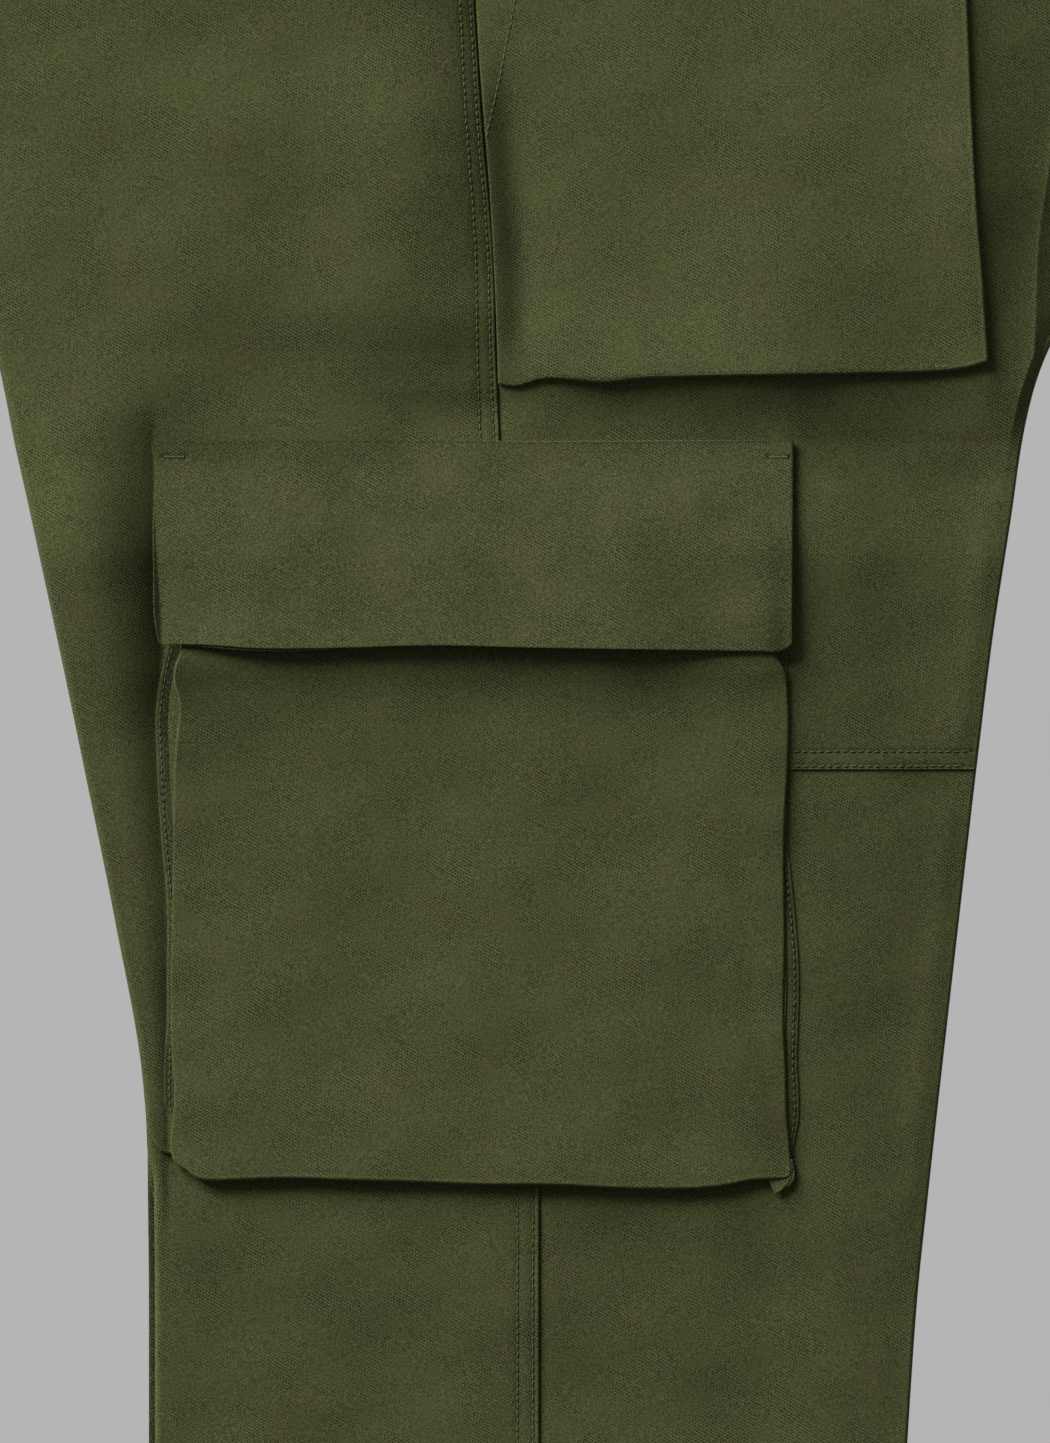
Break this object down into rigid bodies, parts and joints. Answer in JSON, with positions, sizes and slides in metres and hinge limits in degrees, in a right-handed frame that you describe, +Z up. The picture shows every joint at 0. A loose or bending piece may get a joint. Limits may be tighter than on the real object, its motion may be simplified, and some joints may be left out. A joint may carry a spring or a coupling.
{
  "type": "cargo trousers",
  "caption": "Cotton twill cargo trousers lying flat on one side with one leg on the other, with patch pockets at the hips and flapped bellows pockets at the knees.",
  "frame": {"origin": "middle of the laid trousers' outline, on the surface that they lie on", "axes": "+Y towards the waist, +X towards the front edge, +Z up from the surface"},
  "size_m": [0.519, 1.04, 0.0201],
  "materials": {
    "olive_twill": "matt cotton twill with a slight nap",
    "olive_button": "dull moulded plastic"
  },
  "bodies": {
    "root": {"right_front_upper": "olive_twill", "right_front_lower": "olive_twill", "right_back": "olive_twill", "right_front_pocket": "olive_twill", "right_cargo_gusset": "olive_twill", "right_cargo_bag": "olive_twill", "right_cargo_flap": "olive_twill", "left_front_upper": "olive_twill", "left_front_lower": "olive_twill", "left_back": "olive_twill", "left_front_pocket": "olive_twill", "left_cargo_gusset": "olive_twill", "left_cargo_bag": "olive_twill", "left_cargo_flap": "olive_twill", "waistband": "olive_twill", "fly": "olive_twill", "waist_button": "olive_button"}
  },
  "joints": []
}
